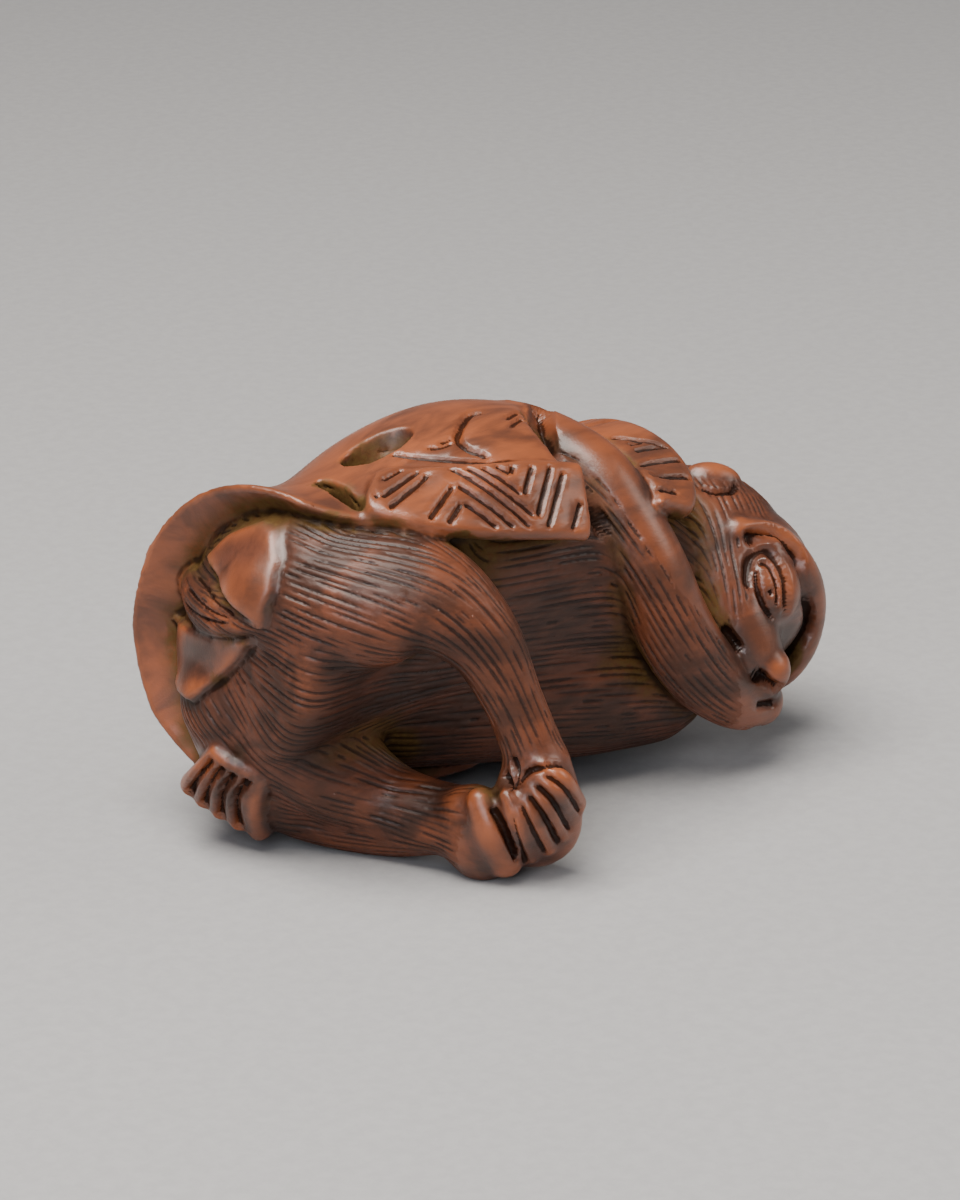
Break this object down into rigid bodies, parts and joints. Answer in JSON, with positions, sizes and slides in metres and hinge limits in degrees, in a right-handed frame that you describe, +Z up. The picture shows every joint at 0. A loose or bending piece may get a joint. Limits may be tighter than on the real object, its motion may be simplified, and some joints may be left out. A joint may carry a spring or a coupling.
{
  "type": "animal netsuke",
  "caption": "Small solid boxwood carving of a monkey in a sleeveless coat lying on its side, with a bent cord channel through the coat.",
  "frame": {"origin": "middle of the figure's outline on the table, at the height of the flats it rests on", "axes": "+X from the seat to the crown along the lying figure, -Y to the side that the knees and feet point to, +Z up"},
  "size_m": [0.047, 0.0302, 0.0275],
  "materials": {
    "boxwood": "stained and hand polished"
  },
  "bodies": {
    "root": {"carved_monkey": "boxwood"}
  },
  "joints": []
}
